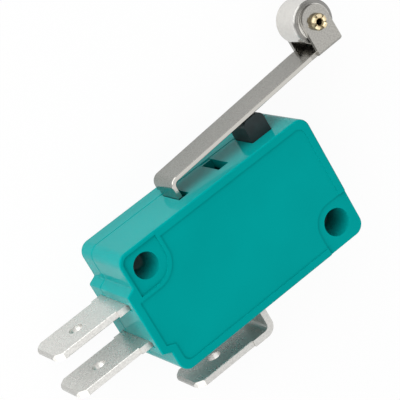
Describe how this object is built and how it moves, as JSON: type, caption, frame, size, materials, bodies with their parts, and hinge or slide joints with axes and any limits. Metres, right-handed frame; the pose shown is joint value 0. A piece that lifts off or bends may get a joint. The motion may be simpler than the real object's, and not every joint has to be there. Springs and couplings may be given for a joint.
{
  "type": "lever micro switch",
  "caption": "Miniature snap-action switch in a two-part teal casing with a hinged roller lever, dark plunger and push-on terminal tabs.",
  "frame": {"origin": "on the axis of the lower mounting bore (roller end), in the plane of the back face", "axes": "+X along the casing from the end terminals to the roller, +Y across it towards the lever, +Z out of the front face, so the switch lies on its back"},
  "size_m": [0.0494, 0.0294, 0.0103],
  "materials": {
    "casing_plastic": "glossy moulded teal",
    "plunger_plastic": "satin dark grey",
    "plated_strip": "bright nickel plate",
    "plated_tab": "tin plate with fine rolling marks",
    "roller_steel": "turned and plated",
    "rivet_brass": "bright brass",
    "arm_brass": "rolled brass strip",
    "spring_steel": "bright spring wire",
    "contact_silver": "silver contact alloy"
  },
  "bodies": {
    "casing": {"case": "casing_plastic", "cover": "casing_plastic", "common_terminal": "plated_tab", "nc_terminal": "plated_tab", "no_terminal": "plated_tab", "nc_contact": "contact_silver", "no_contact": "contact_silver"},
    "roller_lever": {"lever": "plated_strip", "roller_pin": "rivet_brass"},
    "roller": {"roller": "roller_steel"},
    "plunger": {"plunger": "plunger_plastic"},
    "drive_arm": {"drive_arm": "arm_brass"},
    "contact_arm": {"contact_arm": "arm_brass", "moving_contact": "contact_silver"},
    "tension_spring": {"tension_spring": "spring_steel"}
  },
  "joints": [
    {"name": "lever_hinge", "type": "hinge", "parent": "casing", "child": "roller_lever", "pos_m": [-0.01395, 0.01175, 0.0056], "axis": [0, 0, -1], "range_deg": [0, 7.5], "stiffness_Nm_per_rad": 0.05, "springref_deg": -17.19},
    {"name": "roller_spin", "type": "hinge", "parent": "roller_lever", "child": "roller", "pos_m": [0.01076, 0.02025, 0.0056], "axis": [0, 0, 1], "continuous": true},
    {"name": "plunger_slide", "type": "slide", "parent": "casing", "child": "plunger", "axis": [0, -1, 0], "range_m": [0, 0.00155]},
    {"name": "drive_arm_hinge", "type": "hinge", "parent": "casing", "child": "drive_arm", "pos_m": [-0.01254, 0.0042, 0.0056], "axis": [0, 0, -1], "range_deg": [0, 8.5]},
    {"name": "contact_arm_hinge", "type": "hinge", "parent": "casing", "child": "contact_arm", "pos_m": [0.00079, 0.0055, 0.0056], "axis": [0, 0, 1], "range_deg": [0, 1.51]},
    {"name": "spring_hinge", "type": "hinge", "parent": "contact_arm", "child": "tension_spring", "pos_m": [-0.0106, 0.0055, 0.0056], "axis": [0, 0, -1], "range_deg": [0, 10]}
  ],
  "couplings": [
    {"joint": "plunger_slide", "follows": "lever_hinge", "m_per_rad": 0.0117},
    {"joint": "drive_arm_hinge", "follows": "lever_hinge", "ratio": 1.13},
    {"joint": "contact_arm_hinge", "follows": "lever_hinge", "ratio": 0.2},
    {"joint": "spring_hinge", "follows": "lever_hinge", "ratio": 1.312}
  ]
}
